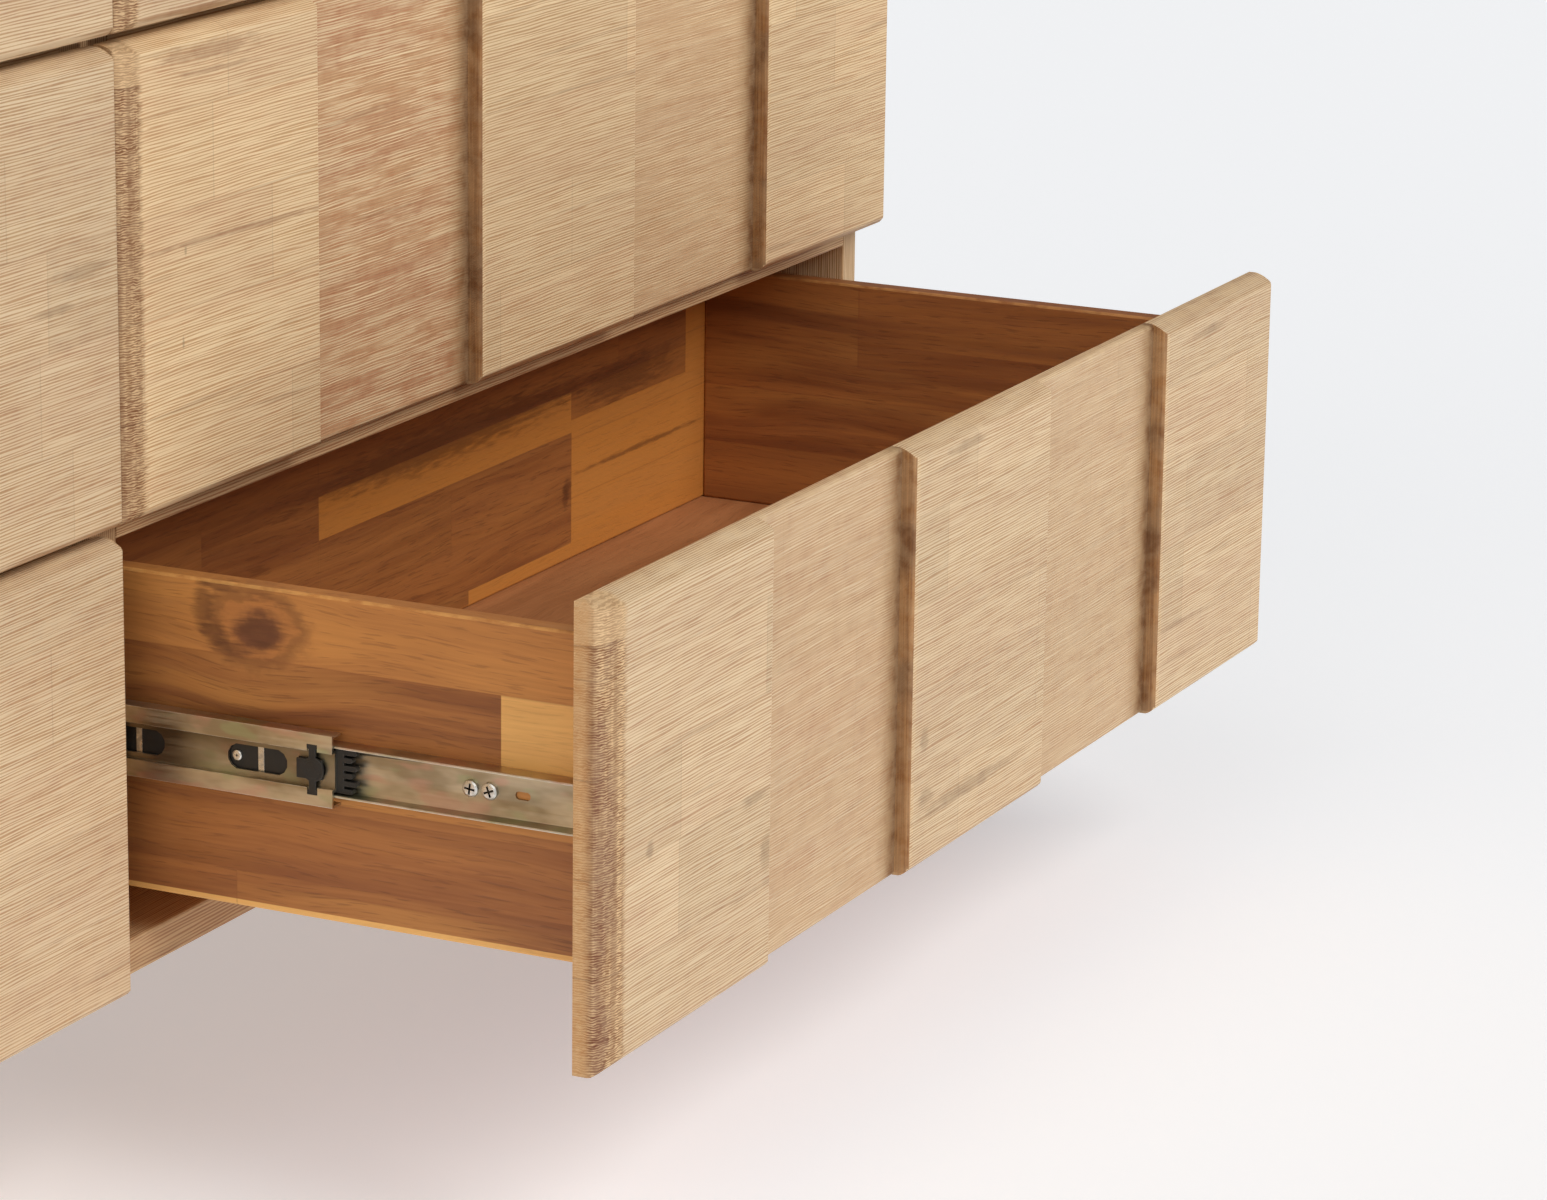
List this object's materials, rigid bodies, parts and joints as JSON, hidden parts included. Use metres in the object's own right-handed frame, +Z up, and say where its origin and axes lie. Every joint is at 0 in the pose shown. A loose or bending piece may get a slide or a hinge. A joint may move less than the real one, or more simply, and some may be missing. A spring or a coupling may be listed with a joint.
{
  "type": "block front chest",
  "caption": "Wide wooden chest of drawers on tapered legs, each drawer front stepped in blocks and bays, on full-extension ball-bearing runners, one lower drawer standing open.",
  "frame": {"origin": "on the floor, under the glide of the centre leg", "axes": "+Z up; +X along the chest to the right of someone facing its drawers; +Y from the drawers to the back"},
  "size_m": [1.674, 0.6474, 0.831],
  "materials": {
    "face_wood": "wire-brushed light hardwood with pale grain filler, matt",
    "box_wood": "oiled jointed staves of varied brown hardwood, satin",
    "box_board": "thin veneered board, satin",
    "zinc_steel": "zinc-plated with a faint iridescent passivate",
    "black_plastic": "matt black moulded plastic"
  },
  "bodies": {
    "chest": {"top_panel": "face_wood", "side_panel_left": "face_wood", "side_panel_right": "face_wood", "partitions": "face_wood", "bottom_panel": "face_wood", "back_panel": "box_board", "front_rails": "face_wood", "legs": "face_wood", "centre_leg": "face_wood", "glides": "black_plastic", "cabinet_runners": "zinc_steel", "cabinet_screws": "zinc_steel"},
    "bottom_left_drawer": {"bottom_left_front": "face_wood", "bottom_left_side_inner": "box_wood", "bottom_left_side_outer": "box_wood", "bottom_left_box_ends": "box_wood", "bottom_left_bottom_board": "box_board", "bottom_left_runners": "zinc_steel"},
    "bottom_left_carriage": {"bottom_left_carriages": "zinc_steel", "bottom_left_bumpers": "black_plastic"},
    "bottom_right_drawer": {"bottom_right_front": "face_wood", "bottom_right_side_inner": "box_wood", "bottom_right_side_outer": "box_wood", "bottom_right_box_ends": "box_wood", "bottom_right_bottom_board": "box_board", "bottom_right_runners": "zinc_steel"},
    "bottom_right_carriage": {"bottom_right_carriages": "zinc_steel", "bottom_right_bumpers": "black_plastic"},
    "middle_left_drawer": {"middle_left_front": "face_wood", "middle_left_side_inner": "box_wood", "middle_left_side_outer": "box_wood", "middle_left_box_ends": "box_wood", "middle_left_bottom_board": "box_board", "middle_left_runners": "zinc_steel"},
    "middle_left_carriage": {"middle_left_carriages": "zinc_steel", "middle_left_bumpers": "black_plastic"},
    "middle_right_drawer": {"middle_right_front": "face_wood", "middle_right_side_inner": "box_wood", "middle_right_side_outer": "box_wood", "middle_right_box_ends": "box_wood", "middle_right_bottom_board": "box_board", "middle_right_runners": "zinc_steel"},
    "middle_right_carriage": {"middle_right_carriages": "zinc_steel", "middle_right_bumpers": "black_plastic"},
    "top_left_drawer": {"top_left_front": "face_wood", "top_left_side_inner": "box_wood", "top_left_side_outer": "box_wood", "top_left_box_ends": "box_wood", "top_left_bottom_board": "box_board", "top_left_runners": "zinc_steel"},
    "top_left_carriage": {"top_left_carriages": "zinc_steel", "top_left_bumpers": "black_plastic"},
    "top_right_drawer": {"top_right_front": "face_wood", "top_right_side_inner": "box_wood", "top_right_side_outer": "box_wood", "top_right_box_ends": "box_wood", "top_right_bottom_board": "box_board", "top_right_runners": "zinc_steel"},
    "top_right_carriage": {"top_right_carriages": "zinc_steel", "top_right_bumpers": "black_plastic"}
  },
  "joints": [
    {"name": "bottom_left_drawer_slide", "type": "slide", "parent": "chest", "child": "bottom_left_drawer", "axis": [0, -1, 0], "range_m": [0, 0.35]},
    {"name": "bottom_left_carriage_slide", "type": "slide", "parent": "chest", "child": "bottom_left_carriage", "axis": [0, -1, 0], "range_m": [0, 0.175]},
    {"name": "bottom_right_drawer_slide", "type": "slide", "parent": "chest", "child": "bottom_right_drawer", "axis": [0, -1, 0], "range_m": [-0.2474, 0.1026]},
    {"name": "bottom_right_carriage_slide", "type": "slide", "parent": "chest", "child": "bottom_right_carriage", "axis": [0, -1, 0], "range_m": [-0.1237, 0.0513]},
    {"name": "middle_left_drawer_slide", "type": "slide", "parent": "chest", "child": "middle_left_drawer", "axis": [0, -1, 0], "range_m": [0, 0.35]},
    {"name": "middle_left_carriage_slide", "type": "slide", "parent": "chest", "child": "middle_left_carriage", "axis": [0, -1, 0], "range_m": [0, 0.175]},
    {"name": "middle_right_drawer_slide", "type": "slide", "parent": "chest", "child": "middle_right_drawer", "axis": [0, -1, 0], "range_m": [0, 0.35]},
    {"name": "middle_right_carriage_slide", "type": "slide", "parent": "chest", "child": "middle_right_carriage", "axis": [0, -1, 0], "range_m": [0, 0.175]},
    {"name": "top_left_drawer_slide", "type": "slide", "parent": "chest", "child": "top_left_drawer", "axis": [0, -1, 0], "range_m": [0, 0.35]},
    {"name": "top_left_carriage_slide", "type": "slide", "parent": "chest", "child": "top_left_carriage", "axis": [0, -1, 0], "range_m": [0, 0.175]},
    {"name": "top_right_drawer_slide", "type": "slide", "parent": "chest", "child": "top_right_drawer", "axis": [0, -1, 0], "range_m": [0, 0.35]},
    {"name": "top_right_carriage_slide", "type": "slide", "parent": "chest", "child": "top_right_carriage", "axis": [0, -1, 0], "range_m": [0, 0.175]}
  ],
  "couplings": [
    {"joint": "bottom_left_carriage_slide", "follows": "bottom_left_drawer_slide", "ratio": 0.5},
    {"joint": "bottom_right_carriage_slide", "follows": "bottom_right_drawer_slide", "ratio": 0.5},
    {"joint": "middle_left_carriage_slide", "follows": "middle_left_drawer_slide", "ratio": 0.5},
    {"joint": "middle_right_carriage_slide", "follows": "middle_right_drawer_slide", "ratio": 0.5},
    {"joint": "top_left_carriage_slide", "follows": "top_left_drawer_slide", "ratio": 0.5},
    {"joint": "top_right_carriage_slide", "follows": "top_right_drawer_slide", "ratio": 0.5}
  ]
}
